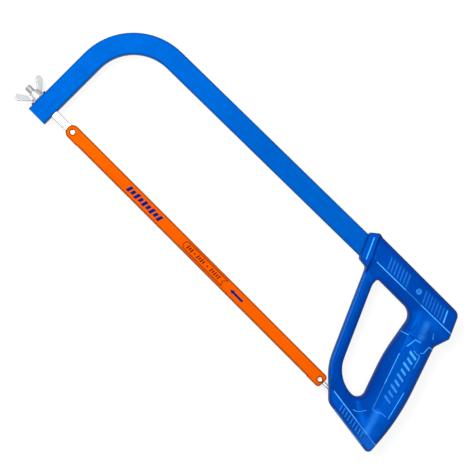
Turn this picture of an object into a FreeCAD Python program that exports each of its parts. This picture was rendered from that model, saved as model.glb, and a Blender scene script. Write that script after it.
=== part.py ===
import FreeCAD, Part
import math
import os

# Hacksaw: bent tube frame, D handle in two shells, 300 mm blade and a wing-nut tensioner.
#
# Working frame, in millimetres: X runs along the blade towards the handle, Y from the blade towards
# the bow, Z across the saw. The middle of the blade's two holes is at zero. At the end everything is
# moved so that the origin is under the middle of the saw as it lies on its right side.

V = FreeCAD.Vector
TOLERANCE = 0.01

# Blade
HOLE_SPACING = 300.0
HOLE_RADIUS = 2.0
BLADE_WIDTH = 12.2
BLADE_THICKNESS = 0.65
BLADE_FRONT_MARGIN = 6.1
BLADE_FRONT_CORNER = BLADE_WIDTH / 2 - TOLERANCE
BLADE_REAR_MARGIN = 4.0
BLADE_REAR_CORNER = 3.2
TOOTH_PITCH = 25.4 / 24
TOOTH_DEPTH = 0.7
TOOTH_GULLET_SHARE = 0.75
TOOTHED_LENGTH = 280.0

# Pegs through the blade's holes, each hard against the hole's outer side
PEG_RADIUS = 1.5
PEG_GAP = 0.03
PEG_TOP = 3.2
PEG_CHAMFER = 0.4
PEG_X = HOLE_SPACING / 2 + HOLE_RADIUS - PEG_RADIUS - PEG_GAP

# Frame tube
TUBE_WIDTH = 18.5
TUBE_DEPTH = 12.0
TUBE_WALL = 1.2
TUBE_CORNER = 1.5
LEG_X = -181.3
LEG_END_Y = -12.4
RUN_Y = 106.9
RUN_RISE_DEG = 0.75
BEND_RADIUS = 50.0
RUN_END_X = 168.0
PLUG_DEPTH = 5.0
PLUG_WALL = 1.6
PLUG_CORNER = TUBE_CORNER - TUBE_WALL / 2
SLEEVE_CORNER = 1.0

# Tensioner
SHANK_SIDE = 7.0
SHANK_HOLE = 7.3
SHANK_START_GAP = 0.5
SHANK_END_X = -159.2
TONGUE_END_X = -146.0
TONGUE_TOP = -0.4
TONGUE_CORNER = 3.3
THREAD_RADIUS = 3.0
STUD_TIP_X = -205.4
STUD_CHAMFER = 0.9
SADDLE_LENGTH = 16.0
SADDLE_THICKNESS = 1.2
SADDLE_CORNER = 2.5
SADDLE_HOLE_GAP = 0.3
WASHER_RADIUS = 6.2
WASHER_THICKNESS = 0.9
WASHER_HOLE_GAP = 0.2
NUT_GAP = 0.1
NUT_BORE_RADIUS = THREAD_RADIUS + 0.05
NUT_BASE_RADIUS = 5.9
NUT_TOP_RADIUS = 4.3
NUT_HEIGHT = 5.6
WING_THICKNESS = 1.9
WING_TURN_DEG = -25.0

# One wing as (distance from the nut's axis, height over its base, corner radius)
WING_OUTLINE = [
    (3.1, 0.9, 0), (6.4, 0.9, 2.0), (15.0, 8.4, 5.0), (16.6, 12.2, 2.6),
    (12.2, 14.8, 2.8), (7.4, 8.0, 5.0), (5.2, 5.2, 0), (3.1, 5.2, 0),
]

# Where the tensioner's faces lie along the stud
LEG_FACE_X = LEG_X - TUBE_WIDTH / 2
SADDLE_FACE_X = LEG_FACE_X - SADDLE_THICKNESS
WASHER_FACE_X = SADDLE_FACE_X - WASHER_THICKNESS
NUT_FACE_X = WASHER_FACE_X - NUT_GAP

# Handle: half thickness of each region, measured from the seam
GUARD_HALF = 9.0
BODY_HALF = 13.0
GRIP_HALF = 15.5
BUTT_HALF = 12.5
BODY_STEPS = ((1.2, 11.8), (2.2, BODY_HALF))
GRIP_STEPS = ((1.2, 11.5), (2.8, 13.8), (5.0, GRIP_HALF))
BUTT_STEPS = ((1.2, 11.5), (2.0, BUTT_HALF))
SHELL_WALL = 3.0
TUBE_SLOT_GAP = 0.1
RIB_THICKNESS = 2.5
RIB_XS = (118.0, 140.0, 160.0)

# Handle fasteners
SCREW_POINTS = ((187.0, 112.0), (117.6, 88.0), (152.5, 17.0), (213.0, -6.5), (195.0, 52.0))
SCREW_SEAT_Z = -5.0
SCREW_TIP_Z = 6.0
SCREW_RADIUS = 1.5
SCREW_HEAD_RADIUS = 3.0
SCREW_HEAD_HEIGHT = 2.2
SCREW_HEAD_ROUND = 0.88
CROSS_LENGTH = 3.4
CROSS_WIDTH = 0.9
CROSS_DEPTH = 1.3
SCREW_PILOT_GAP = 0.05
SCREW_CLEARANCE = 0.2
BOSS_RADIUS = 4.4
TUBE_PIN_RADIUS = 2.0
TUBE_PIN_HALF = 9.0
TUBE_PIN_XS = (111.5, 150.0)
PIN_BORE_SHARE = 0.6
PIN_SLIT = 0.6

# Rear anchor
ANCHOR_SIDE = 7.0
ANCHOR_START_X = 167.5
ANCHOR_END_X = 189.0
NECK_RADIUS = PEG_RADIUS
NECK_Z = -2.0
NECK_BEND = 2.0
ANCHOR_PIN_X = 179.0
ANCHOR_PIN_RADIUS = 1.5
ANCHOR_PIN_HALF = 6.0
CRADLE_WALL = 2.4
NOSE_DEPTH = 9.0


def unit(vector):
    return V(vector).normalize()


def rounded_wire(corners, z=0.0):
    """Closed wire through (x, y, radius) corners, each rounded by a tangent arc."""
    edges = []
    spans = []
    count = len(corners)
    for i, (x, y, radius) in enumerate(corners):
        corner = V(x, y, z)
        before = unit(V(corners[i - 1][0], corners[i - 1][1], z) - corner)
        after = unit(V(corners[(i + 1) % count][0], corners[(i + 1) % count][1], z) - corner)
        half = before.getAngle(after) / 2
        reach = radius / math.tan(half)
        middle = unit(before + after) * (radius / math.sin(half) - radius)
        spans.append((corner + before * reach, corner + middle, corner + after * reach))
    for i, (start, middle, end) in enumerate(spans):
        if corners[i][2] > 0:
            edges.append(Part.Arc(start, middle, end).toShape())
        following = spans[(i + 1) % count][0]
        if end.distanceToPoint(following) > TOLERANCE / 100:
            edges.append(Part.LineSegment(end, following).toShape())
    return Part.Wire(edges)


def prism(corners, low, high):
    """Solid between two heights over a rounded outline."""
    return Part.Face(rounded_wire(corners, low)).extrude(V(0, 0, high - low))


def box(x0, x1, y0, y1, z0, z1):
    return Part.makeBox(x1 - x0, y1 - y0, z1 - z0, V(x0, y0, z0))


def upright(radius, x, y, low, high):
    return Part.makeCylinder(radius, high - low, V(x, y, low), V(0, 0, 1))


def along_x(radius, x0, x1, y=0.0, z=0.0):
    return Part.makeCylinder(radius, x1 - x0, V(x0, y, z), V(1, 0, 0))


def run_centre_y(x):
    return RUN_Y + math.tan(math.radians(RUN_RISE_DEG)) * x


# ---- frame ----

def tube_section(width, depth, corner):
    """Rounded rectangle across the leg at its lower end, normal to Y."""
    across = width / 2
    up = depth / 2
    outline = [(-across, -up, corner), (across, -up, corner), (across, up, corner), (-across, up, corner)]
    wire = rounded_wire(outline)
    wire.rotate(V(0, 0, 0), V(1, 0, 0), 90)
    wire.translate(V(LEG_X, LEG_END_Y, 0))
    return Part.Face(wire)


def tube_solid(grow):
    """Solid bar that follows the tube, larger than it by grow all round: leg, bend and run."""
    rise = math.radians(RUN_RISE_DEG)
    turn = 90 - RUN_RISE_DEG
    centre_x = LEG_X + BEND_RADIUS
    centre = V(centre_x, run_centre_y(centre_x) - BEND_RADIUS / math.cos(rise), 0)
    corner = TUBE_CORNER + max(grow, -TUBE_WALL / 2)
    section = tube_section(TUBE_WIDTH + 2 * grow, TUBE_DEPTH + 2 * grow, corner)
    leg = section.extrude(V(0, centre.y - LEG_END_Y, 0))
    section.translate(V(0, centre.y - LEG_END_Y, 0))
    bend = section.revolve(centre, V(0, 0, 1), -turn)
    section.rotate(centre, V(0, 0, 1), -turn)
    run_start_x = centre_x - BEND_RADIUS * math.sin(rise)
    run_length = (RUN_END_X + abs(grow) - run_start_x) / math.cos(rise)
    run = section.extrude(V(math.cos(rise), math.sin(rise), 0) * run_length)
    return leg.fuse([bend, run]).removeSplitter()


def frame_tube():
    tube = tube_solid(0.0).cut(tube_solid(-TUBE_WALL))
    half = SHANK_HOLE / 2
    tube = tube.cut(box(LEG_X - TUBE_WIDTH, LEG_X + TUBE_WIDTH, -half, half, -half, half))
    for x in TUBE_PIN_XS:
        tube = tube.cut(upright(TUBE_PIN_RADIUS, x, run_centre_y(x), -TUBE_DEPTH, TUBE_DEPTH))
    return tube


def leg_end_plug():
    """Plug pressed into the open end of the leg, flush with it."""
    across = TUBE_WIDTH / 2 - TUBE_WALL
    up = TUBE_DEPTH / 2 - TUBE_WALL
    outer = box(LEG_X - across, LEG_X + across, LEG_END_Y, LEG_END_Y + PLUG_DEPTH, -up, up)
    lengthwise = [e for e in outer.Edges if abs(e.Curve.Direction.y) > 0.9]
    outer = outer.makeFillet(PLUG_CORNER, lengthwise)
    inner = box(LEG_X - across + PLUG_WALL, LEG_X + across - PLUG_WALL,
                LEG_END_Y + PLUG_WALL, LEG_END_Y + PLUG_DEPTH, -up + PLUG_WALL, up - PLUG_WALL)
    return outer.cut(inner)


def stud_guide_sleeve():
    """Square guide between the leg's two walls, with corners that clear the tube's rounded ones."""
    across = TUBE_WIDTH / 2 - TUBE_WALL
    outer = TUBE_DEPTH / 2 - TUBE_WALL
    bore = SHANK_HOLE / 2
    sleeve = box(LEG_X - across, LEG_X + across, -outer, outer, -outer, outer)
    lengthwise = [e for e in sleeve.Edges if abs(e.Curve.Direction.y) > 0.9]
    sleeve = sleeve.makeFillet(SLEEVE_CORNER, lengthwise)
    return sleeve.cut(box(LEG_X - across, LEG_X + across, -bore, bore, -bore, bore))


# ---- tensioner ----

def draw_stud():
    """Square shank with a threaded end outside the leg and a flat tongue under the blade."""
    half = SHANK_SIDE / 2
    square_start = LEG_FACE_X + SHANK_START_GAP
    shank = box(square_start, SHANK_END_X, -half, half, -half, half)
    thread = along_x(THREAD_RADIUS, STUD_TIP_X, square_start)
    tip = [e for e in thread.Edges if e.BoundBox.XMax < STUD_TIP_X + TOLERANCE]
    thread = thread.makeChamfer(STUD_CHAMFER, tip)
    tongue = box(SHANK_END_X, TONGUE_END_X, -half, half, -half, TONGUE_TOP)
    corners = [e for e in tongue.Edges
               if e.BoundBox.XMin > TONGUE_END_X - TOLERANCE and e.BoundBox.ZLength > 1]
    tongue = tongue.makeFillet(TONGUE_CORNER, corners)
    stud = shank.fuse([thread, tongue]).removeSplitter()
    return stud.cut(upright(PEG_RADIUS, -PEG_X, 0, -half, TONGUE_TOP))


def front_blade_pin():
    pin = upright(PEG_RADIUS, -PEG_X, 0, -SHANK_SIDE / 2, PEG_TOP)
    top = [e for e in pin.Edges if e.BoundBox.ZMin > PEG_TOP - TOLERANCE]
    return pin.makeChamfer(PEG_CHAMFER, top)


def saddle_washer():
    """Rectangular washer with rounded ends that spreads the nut's load over the leg."""
    washer = box(SADDLE_FACE_X, LEG_FACE_X, -SADDLE_LENGTH / 2, SADDLE_LENGTH / 2,
                 -TUBE_DEPTH / 2, TUBE_DEPTH / 2)
    corners = [e for e in washer.Edges if abs(e.Curve.Direction.x) > 0.9]
    washer = washer.makeFillet(SADDLE_CORNER, corners)
    return washer.cut(along_x(THREAD_RADIUS + SADDLE_HOLE_GAP, SADDLE_FACE_X, LEG_FACE_X))


def flat_washer():
    ring = along_x(WASHER_RADIUS, WASHER_FACE_X, SADDLE_FACE_X)
    return ring.cut(along_x(THREAD_RADIUS + WASHER_HOLE_GAP, WASHER_FACE_X, SADDLE_FACE_X))


def wing(turn_deg):
    """One flat wing of the nut, turned about the stud."""
    plate = prism(WING_OUTLINE, -WING_THICKNESS / 2, WING_THICKNESS / 2)
    lying = FreeCAD.Rotation(V(0, 1, 0), V(-1, 0, 0), V(0, 0, 1))
    plate.Placement = FreeCAD.Placement(V(NUT_FACE_X, 0, 0), lying)
    plate.rotate(V(0, 0, 0), V(1, 0, 0), turn_deg)
    return plate


def wing_nut():
    hub = Part.makeCone(NUT_BASE_RADIUS, NUT_TOP_RADIUS, NUT_HEIGHT, V(NUT_FACE_X, 0, 0), V(-1, 0, 0))
    nut = hub.fuse([wing(WING_TURN_DEG), wing(WING_TURN_DEG + 180)]).removeSplitter()
    return nut.cut(along_x(NUT_BORE_RADIUS, NUT_FACE_X - NUT_HEIGHT - 1, NUT_FACE_X + 1))


# ---- blade ----

def blade():
    """Flat strip with a full round front end, two holes and teeth that face the front."""
    front = -HOLE_SPACING / 2 - BLADE_FRONT_MARGIN
    rear = HOLE_SPACING / 2 + BLADE_REAR_MARGIN
    half = BLADE_WIDTH / 2
    low = -BLADE_THICKNESS / 2
    high = BLADE_THICKNESS / 2
    outline = [
        (front, -half, BLADE_FRONT_CORNER), (rear, -half, BLADE_REAR_CORNER),
        (rear, half, BLADE_REAR_CORNER), (front, half, BLADE_FRONT_CORNER),
    ]
    strip = prism(outline, low, high)
    for x in (-HOLE_SPACING / 2, HOLE_SPACING / 2):
        strip = strip.cut(upright(HOLE_RADIUS, x, 0, low, high))
    return strip.cut(tooth_gullets(low, high))


def tooth_gullets(low, high):
    """One saw-edged strip that covers every gullet, to be cut from the blade."""
    count = int(TOOTHED_LENGTH / TOOTH_PITCH)
    first = -count * TOOTH_PITCH / 2
    edge = -BLADE_WIDTH / 2
    points = [V(first, edge - 1, low), V(first, edge, low)]
    for i in range(count):
        x = first + i * TOOTH_PITCH
        points.append(V(x + TOOTH_PITCH * TOOTH_GULLET_SHARE, edge + TOOTH_DEPTH, low))
        points.append(V(x + TOOTH_PITCH, edge, low))
    points += [V(first + count * TOOTH_PITCH, edge - 1, low), points[0]]
    return Part.Face(Part.makePolygon(points)).extrude(V(0, 0, high - low))


# ---- rear anchor ----

def rear_anchor():
    """Square shank held in the nose, with a thin neck bent up through the blade's rear hole."""
    half = ANCHOR_SIDE / 2
    shank = box(ANCHOR_START_X, ANCHOR_END_X, -half, half, -half, half)
    turn_centre = V(PEG_X + NECK_BEND, 0, NECK_Z + NECK_BEND)
    circle = Part.Face(Part.Wire(Part.makeCircle(NECK_RADIUS, V(PEG_X, 0, turn_centre.z), V(0, 0, 1))))
    peg = upright(NECK_RADIUS, PEG_X, 0, turn_centre.z, PEG_TOP)
    top = [e for e in peg.Edges if e.BoundBox.ZMin > PEG_TOP - TOLERANCE]
    peg = peg.makeChamfer(PEG_CHAMFER, top)
    bend = circle.revolve(turn_centre, V(0, 1, 0), -90)
    neck = along_x(NECK_RADIUS, turn_centre.x, ANCHOR_START_X, 0, NECK_Z)
    anchor = shank.fuse([peg, bend, neck]).removeSplitter()
    return anchor.cut(upright(ANCHOR_PIN_RADIUS, ANCHOR_PIN_X, 0, -half, half))


def spring_pin(radius, x, y, half):
    """Rolled pin: a thin tube with a slit along it."""
    pin = upright(radius, x, y, -half, half).cut(upright(radius * PIN_BORE_SHARE, x, y, -half, half))
    return pin.cut(box(x, x + radius, y - PIN_SLIT / 2, y + PIN_SLIT / 2, -half, half))


def tube_pin(x):
    return spring_pin(TUBE_PIN_RADIUS, x, run_centre_y(x), TUBE_PIN_HALF)


def front_tube_pin():
    return tube_pin(TUBE_PIN_XS[0])


def rear_tube_pin():
    return tube_pin(TUBE_PIN_XS[1])


def anchor_cross_pin():
    return spring_pin(ANCHOR_PIN_RADIUS, ANCHOR_PIN_X, 0, ANCHOR_PIN_HALF)


# ---- handle: outlines as (x, y, corner radius) ----

OUTLINE = [
    (98.7, 100.0, 0), (91.5, 116.2, 0), (91.5, 119.8, 1.5), (98.0, 125.0, 2.5), (102.0, 123.9, 3.0),
    (194.0, 124.0, 7.0), (203.7, 102.4, 3.0), (199.0, 88.5, 6.0), (221.5, 23.3, 200.0),
    (223.9, -16.3, 4.0), (169.3, -8.9, 8.0), (145.4, 14.6, 50.0), (109.3, 96.0, 3.5), (100.6, 96.9, 2.5),
]
FINGER_HOLE = [
    (123.7, 95.8, 2.5), (165.2, 95.8, 11.0), (172.5, 54.0, 150.0), (188.0, 10.0, 6.8), (158.9, 11.2, 30.0),
    (124.2, 89.0, 10.0),
]

# Regions that stand higher than the guard. Their outer corners lie outside the outline, which trims them.
BODY = [
    (80.0, 130.0, 0), (212.0, 130.0, 0), (212.0, 104.6, 0), (110.8, 104.6, 0), (116.2, 92.0, 0),
    (80.0, 92.0, 0),
]
GRIP = [
    (168.0, 105.2, 5.0), (173.6, 54.0, 150.0), (189.0, 4.8, 5.0), (232.0, -0.9, 0), (232.0, 105.2, 0),
]
BUTT = [
    (150.0, 5.3, 0), (232.0, -6.0, 0), (232.0, -20.0, 0), (150.0, -20.0, 0),
]

REGION_STEPS = ((BODY, BODY_STEPS), (GRIP, GRIP_STEPS), (BUTT, BUTT_STEPS))


def offset_prism(corners, offset, height):
    """Prism on the seam over an outline moved outwards by offset."""
    face = Part.Face(rounded_wire(corners))
    return face.makeOffset2D(offset, 0, False, False, False).extrude(V(0, 0, height))


def raised_layer(corners, inset, height):
    """Part of a region, set in from its sides and from the outline."""
    return offset_prism(OUTLINE, -inset, height).common(offset_prism(corners, -inset, height))


def shell_block():
    """Outer form of the half in front of the seam, still solid, with terraced edges."""
    layers = [raised_layer(corners, inset, half)
              for corners, steps in REGION_STEPS for inset, half in steps]
    return prism(OUTLINE, 0, GUARD_HALF).fuse(layers).cut(prism(FINGER_HOLE, 0, GRIP_HALF))


def shell_cavity():
    """Hollow of every region, one wall's thickness in from the outline, the layers and the finger hole."""
    hollows = [raised_layer(corners, inset + SHELL_WALL, half - SHELL_WALL)
               for corners, steps in REGION_STEPS for inset, half in steps]
    cavity = offset_prism(OUTLINE, -SHELL_WALL, GUARD_HALF - SHELL_WALL).fuse(hollows)
    return cavity.cut(offset_prism(FINGER_HOLE, SHELL_WALL, GRIP_HALF))


def shell_posts():
    """Bosses round the screws and tube pins, ribs across the body and the anchor's cradle."""
    posts = [upright(BOSS_RADIUS, x, y, 0, GRIP_HALF) for x, y in SCREW_POINTS]
    posts += [upright(BOSS_RADIUS, x, run_centre_y(x), 0, BODY_HALF) for x in TUBE_PIN_XS]
    top = run_centre_y(RUN_END_X) + TUBE_WIDTH
    bottom = FINGER_HOLE[0][1]
    posts += [box(x, x + RIB_THICKNESS, bottom, top, 0, BODY_HALF) for x in RIB_XS]
    side = ANCHOR_SIDE / 2 + CRADLE_WALL
    posts.append(box(ANCHOR_START_X - NOSE_DEPTH, ANCHOR_END_X + CRADLE_WALL, -side, side, 0, GUARD_HALF))
    return posts


def half_shell():
    """Half in front of the seam with everything that both halves share."""
    block = shell_block()
    posts = [post.common(block) for post in shell_posts()]
    shell = block.cut(shell_cavity()).fuse(posts)
    shell = shell.cut(tube_solid(TUBE_SLOT_GAP))
    for x in TUBE_PIN_XS:
        shell = shell.cut(upright(TUBE_PIN_RADIUS, x, run_centre_y(x), 0, TUBE_PIN_HALF))
    side = ANCHOR_SIDE / 2
    shell = shell.cut(box(ANCHOR_START_X, ANCHOR_END_X, -side, side, 0, side))
    return shell.cut(upright(ANCHOR_PIN_RADIUS, ANCHOR_PIN_X, 0, 0, ANCHOR_PIN_HALF))


def left_handle_shell():
    """Half with the screws' blind pilot holes."""
    shell = half_shell()
    for x, y in SCREW_POINTS:
        shell = shell.cut(upright(SCREW_RADIUS + SCREW_PILOT_GAP, x, y, 0, SCREW_TIP_Z))
    return shell.removeSplitter()


def right_handle_shell():
    """Half with the screws' clearance holes and deep head wells, and the slot for the anchor's neck."""
    shell = half_shell().mirror(V(0, 0, 0), V(0, 0, 1))
    for x, y in SCREW_POINTS:
        shell = shell.cut(upright(SCREW_RADIUS + SCREW_CLEARANCE, x, y, SCREW_SEAT_Z, 0))
        shell = shell.cut(upright(SCREW_HEAD_RADIUS + SCREW_CLEARANCE, x, y, -GRIP_HALF, SCREW_SEAT_Z))
    slot = NECK_RADIUS + TUBE_SLOT_GAP
    slot_start = ANCHOR_START_X - 2 * NOSE_DEPTH
    shell = shell.cut(along_x(slot, slot_start, ANCHOR_START_X, 0, NECK_Z))
    shell = shell.cut(box(slot_start, ANCHOR_START_X, -slot, slot, NECK_Z, 0))
    return shell.removeSplitter()


def handle_screws():
    """Pan-head screws driven from the right side, each with a cross recess."""
    screws = []
    head_z = SCREW_SEAT_Z - SCREW_HEAD_HEIGHT
    for x, y in SCREW_POINTS:
        head = upright(SCREW_HEAD_RADIUS, x, y, head_z, SCREW_SEAT_Z)
        rim = [e for e in head.Edges if e.BoundBox.ZMax < head_z + TOLERANCE]
        head = head.makeFillet(SCREW_HEAD_ROUND, rim)
        screw = head.fuse(upright(SCREW_RADIUS, x, y, SCREW_SEAT_Z, SCREW_TIP_Z))
        for long, short in ((CROSS_LENGTH, CROSS_WIDTH), (CROSS_WIDTH, CROSS_LENGTH)):
            screw = screw.cut(box(x - long / 2, x + long / 2, y - short / 2, y + short / 2,
                                  head_z, head_z + CROSS_DEPTH))
        screws.append(screw.removeSplitter())
    return Part.makeCompound(screws)


PIECES = (
    frame_tube, leg_end_plug, stud_guide_sleeve, saddle_washer, flat_washer, draw_stud, front_blade_pin,
    wing_nut, blade, rear_anchor, anchor_cross_pin, front_tube_pin, rear_tube_pin, left_handle_shell,
    right_handle_shell, handle_screws,
)


def main():
    os.makedirs("parts", exist_ok=True)
    shapes = {piece.__name__: piece() for piece in PIECES}
    whole = Part.makeCompound(list(shapes.values())).optimalBoundingBox()
    middle = V((whole.XMin + whole.XMax) / 2, (whole.YMin + whole.YMax) / 2, whole.ZMin)
    for name, shape in shapes.items():
        shape = shape.copy()
        shape.translate(middle * -1)
        if len(shape.Solids) == 1:
            shape = shape.Solids[0]
        shape.exportStep(f"parts/{name}.step")
        print(f"{name}: {len(shape.Solids)} solid, {shape.Volume / 1000:.2f} cm3, valid {shape.isValid()}")
    print(f"blade centre in the saved frame: {-middle.x:.3f}, {-middle.y:.3f}, {-middle.z:.3f}")
    print(f"size: {whole.XLength:.2f} x {whole.YLength:.2f} x {whole.ZLength:.2f}")


main()
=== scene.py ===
import math

import bmesh
import bpy
import numpy as np
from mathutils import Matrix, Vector
from mathutils.geometry import delaunay_2d_cdt
from mathutils.kdtree import KDTree

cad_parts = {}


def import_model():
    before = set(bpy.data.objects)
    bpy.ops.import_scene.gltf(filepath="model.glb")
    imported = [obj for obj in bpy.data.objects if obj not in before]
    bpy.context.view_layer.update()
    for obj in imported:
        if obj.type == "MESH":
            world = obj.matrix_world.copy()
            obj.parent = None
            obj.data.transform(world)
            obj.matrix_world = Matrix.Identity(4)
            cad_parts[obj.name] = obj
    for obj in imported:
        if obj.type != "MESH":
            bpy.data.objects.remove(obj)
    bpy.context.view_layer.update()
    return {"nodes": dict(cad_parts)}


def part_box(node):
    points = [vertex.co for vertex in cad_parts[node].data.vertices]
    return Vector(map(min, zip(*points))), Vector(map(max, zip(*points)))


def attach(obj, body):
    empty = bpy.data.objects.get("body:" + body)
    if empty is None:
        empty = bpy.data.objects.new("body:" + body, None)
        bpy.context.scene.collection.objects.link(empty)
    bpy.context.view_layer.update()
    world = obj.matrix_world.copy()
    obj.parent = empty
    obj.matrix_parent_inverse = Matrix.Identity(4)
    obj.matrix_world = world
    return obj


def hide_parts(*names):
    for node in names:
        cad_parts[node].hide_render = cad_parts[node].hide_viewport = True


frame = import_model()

# Hacksaw lying on its right side: bent tube frame, D handle in two moulded halves, orange blade and
# wing-nut tensioner. Shapes are worked out in the saw's own frame, in millimetres: X along the blade
# towards the handle, Y from the blade towards the bow, Z across the saw, zero between the blade's holes.

MM = 0.001

# ---- driving sizes, in millimetres ----

HOLE_SPACING = 300.0
HOLE_RADIUS = 2.0
BLADE_REAR_MARGIN = 4.0
BLADE_REAR_CORNER = 3.2
BLADE_FRONT_MARGIN = 6.1
BLADE_WIDTH = 12.2
BLADE_THICKNESS = 0.65
TOOTH_PITCH = 25.4 / 24
TOOTH_DEPTH = 0.7
TOOTH_GULLET_SHARE = 0.75
TOOTHED_LENGTH = 280.0
SET_WIDTH = 0.16       # sideways swing of the wavy set, and its wave along the blade
SET_LENGTH = 8.5
BLADE_STEP = 0.6
INK_THICKNESS = 0.02
SHARP_ANGLE = 35.0     # degrees between faces from which an edge is shaded sharp
PRINT_BARS = 9
PRINT_BARS_X = -81.0
PRINT_BAR_PITCH = 4.5
STROKE_GROUPS = ((-10.2, 3), (1.6, 4), (17.6, 5))     # first x and number of strokes
STROKE_PITCH = 2.3

TUBE_WIDTH = 18.5
TUBE_DEPTH = 12.0
RUN_Y = 106.9
RUN_RISE = math.tan(math.radians(0.75))
RUN_END_X = 168.0
LEG_FACE_X = -190.55

SHANK_SIDE = 7.0
SHANK_START_GAP = 0.5
SHANK_END_X = -159.2
TONGUE_END_X = -146.0
TONGUE_TOP = -0.4
TONGUE_CORNER = 3.3
THREAD_RADIUS = 3.0
THREAD_DEPTH = 0.55
THREAD_PITCH = 1.0
STUD_TIP_X = -205.4
STUD_CHAMFER = 0.9
NUT_FACE_X = -192.75
NUT_BORE_RADIUS = 3.05
NUT_BASE_RADIUS = 5.9
NUT_TOP_RADIUS = 4.3
NUT_HEIGHT = 5.6
WING_THICKNESS = 1.9
WING_TURN = math.radians(-25)

# One wing as (distance from the nut's axis, height over its base, corner radius)
WING_OUTLINE = [
    (3.1, 0.9, 0), (6.4, 0.9, 2.0), (15.0, 8.4, 5.0), (16.6, 12.2, 2.6),
    (12.2, 14.8, 2.8), (7.4, 8.0, 5.0), (5.2, 5.2, 0), (3.1, 5.2, 0),
]

PITCH = 0.6            # spacing of the handle's surface points
ROW_PITCH = 0.5        # spacing of points along the handle's lines
ROW_GAP = 0.25         # least distance between points of different rows
EDGE_ROWS = (0.3, 0.6, 1.0, 1.5, 2.0, 2.5, 3.0, 3.6, 4.2, 4.8)
COLLAR_ROWS = (3.4, 3.8, 4.2, 4.8, 5.4, 6.0, 6.7)
GROOVE_HALF = 0.8
EASE = 3.0             # width of the edge band whose points crowd towards the outline
WALL = 3.0
SEAM_CHAMFER = 0.3     # height of the chamfer where the halves meet, and its depth inwards
SEAM_INSET = 0.22

SCREW_POINTS = ((187.0, 112.0), (117.6, 88.0), (152.5, 17.0), (213.0, -6.5), (195.0, 52.0))
WELL_RADIUS = 3.2
WELL_FLOOR = 5.0

# Handle outlines as (x, y, corner radius)
OUTLINE = [
    (98.7, 100.0, 0), (91.5, 116.2, 0), (91.5, 119.8, 1.5), (98.0, 125.0, 2.5), (102.0, 123.9, 3.0),
    (194.0, 124.0, 7.0), (203.7, 102.4, 3.0), (199.0, 88.5, 6.0), (221.5, 23.3, 200.0),
    (223.9, -16.3, 4.0), (169.3, -8.9, 8.0), (145.4, 14.6, 50.0), (109.3, 96.0, 3.5), (100.6, 96.9, 2.5),
]
FINGER_HOLE = [
    (123.7, 95.8, 2.5), (165.2, 95.8, 11.0), (172.5, 54.0, 150.0), (188.0, 10.0, 6.8), (158.9, 11.2, 30.0),
    (124.2, 89.0, 10.0),
]
PANEL = [
    (198.0, 13.6, 3.0), (180.6, 65.0, 20), (183.4, 75.4, 1.6), (194.6, 75.0, 1.6), (198.6, 63.0, 30),
    (206.6, 42.0, 100), (211.6, 17.6, 3.0),
]

# Lines that the handle's faces are built on, each from one (x, y) point to another
RIDGE_START_X = 113.0
RIDGE_Y = 105.3
RIDGE_RISE = 0.0136
COLLAR_LINE = ((96.5, 118.5), (104.5, 101.0))
CREST = ((180.0, 98.0), (209.0, -3.0))
GRIP_LINE = ((181.1, 63.7), (198.4, 14.2))
BUTT_LINE = ((165.0, 1.8), (223.5, -6.3))
BAR_LINE = ((190.6, 70.5), (204.2, 20.0))
BARS = 9
BAR_PITCH = 5.4
BODY_RIBS = ((121.5, 7, 3.6), (163.1, 7, 3.45))
STRONG_RIB_X = 187.5
BUTT_RIBS = 9

# Fine raised lines as (path, half width, lightness), and grooves as paths; lightness is the strength of
# the painted highlight along each line, partly rubbed wear
RAISED_LINES = (
    (COLLAR_LINE, 0.6, 1.0),
    (((113.0, 105.3), (147.0, 105.8)), 0.55, 1.0),
    (((147.0, 105.8), (165.0, 106.0)), 0.5, 0.35),
    (((165.0, 106.0), (202.6, 106.5)), 0.55, 1.0),
    (((165.0, 1.8), (223.0, -6.2)), 0.6, 1.0),
    (((176.0, -8.9), (214.0, -14.0)), 0.5, 0.6),
    (((181.1, 63.7), (190.4, 37.0)), 0.5, 0.85),
    (((190.4, 37.0), (198.4, 14.2)), 0.45, 0.45),
    (((198.4, 14.2), (203.0, 14.6), (206.0, 16.8), (211.0, 17.4)), 0.5, 0.35),
    (((188.4, 74.0), (192.0, 73.7), (195.1, 74.5), (198.7, 63.7)), 0.5, 0.5),
    (((207.8, 42.5), (213.8, 17.6)), 0.5, 0.8),
    (((187.5, 2.0), (190.4, 3.0), (193.2, 5.6), (195.4, 9.4)), 0.5, 0.5),
    (((168.0, 78.0), (175.4, 80.4)), 0.6, 0.6),
    (((181.4, 73.1), (182.6, 81.6), (187.5, 82.8)), 0.6, 0.7),
    (((193.8, 76.5), (195.7, 78.3), (195.4, 85.2), (199.6, 86.2)), 0.6, 0.6),
    (((190.2, 96.5), (193.2, 92.2)), 0.5, 0.45),
    # two broad streaks along the grip's crest: a painted highlight
    (((203.2, 14.0), (208.6, -4.0)), 5.2, 0.12),
    (((180.6, 98.0), (184.6, 87.0)), 5.0, 0.12),
)
GROOVES = (
    ((170.2, 83.1), (175.3, 85.2), (174.7, 91.9)),
    ((175.4, 80.4), (181.5, 81.8)),
    ((180.2, 87.7), (186.0, 90.4), (187.0, 96.2)),
    ((193.5, 89.5), (199.0, 91.4)),
)
LEAN = 0.45            # ribs and bars lean like the collar: x gained per mm of fall


blade_low, blade_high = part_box("blade")
ORIGIN = Vector((
    blade_high.x - (HOLE_SPACING / 2 + BLADE_REAR_MARGIN) * MM,
    (blade_low.y + blade_high.y) / 2,
    (blade_low.z + blade_high.z) / 2,
))


def placed(points):
    """Saw-frame millimetres as row-frame metres."""
    return np.asarray(points, float) * MM + np.array(ORIGIN)


def unit(vector):
    return vector / np.linalg.norm(vector)


# ---- plane geometry ----

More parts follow.
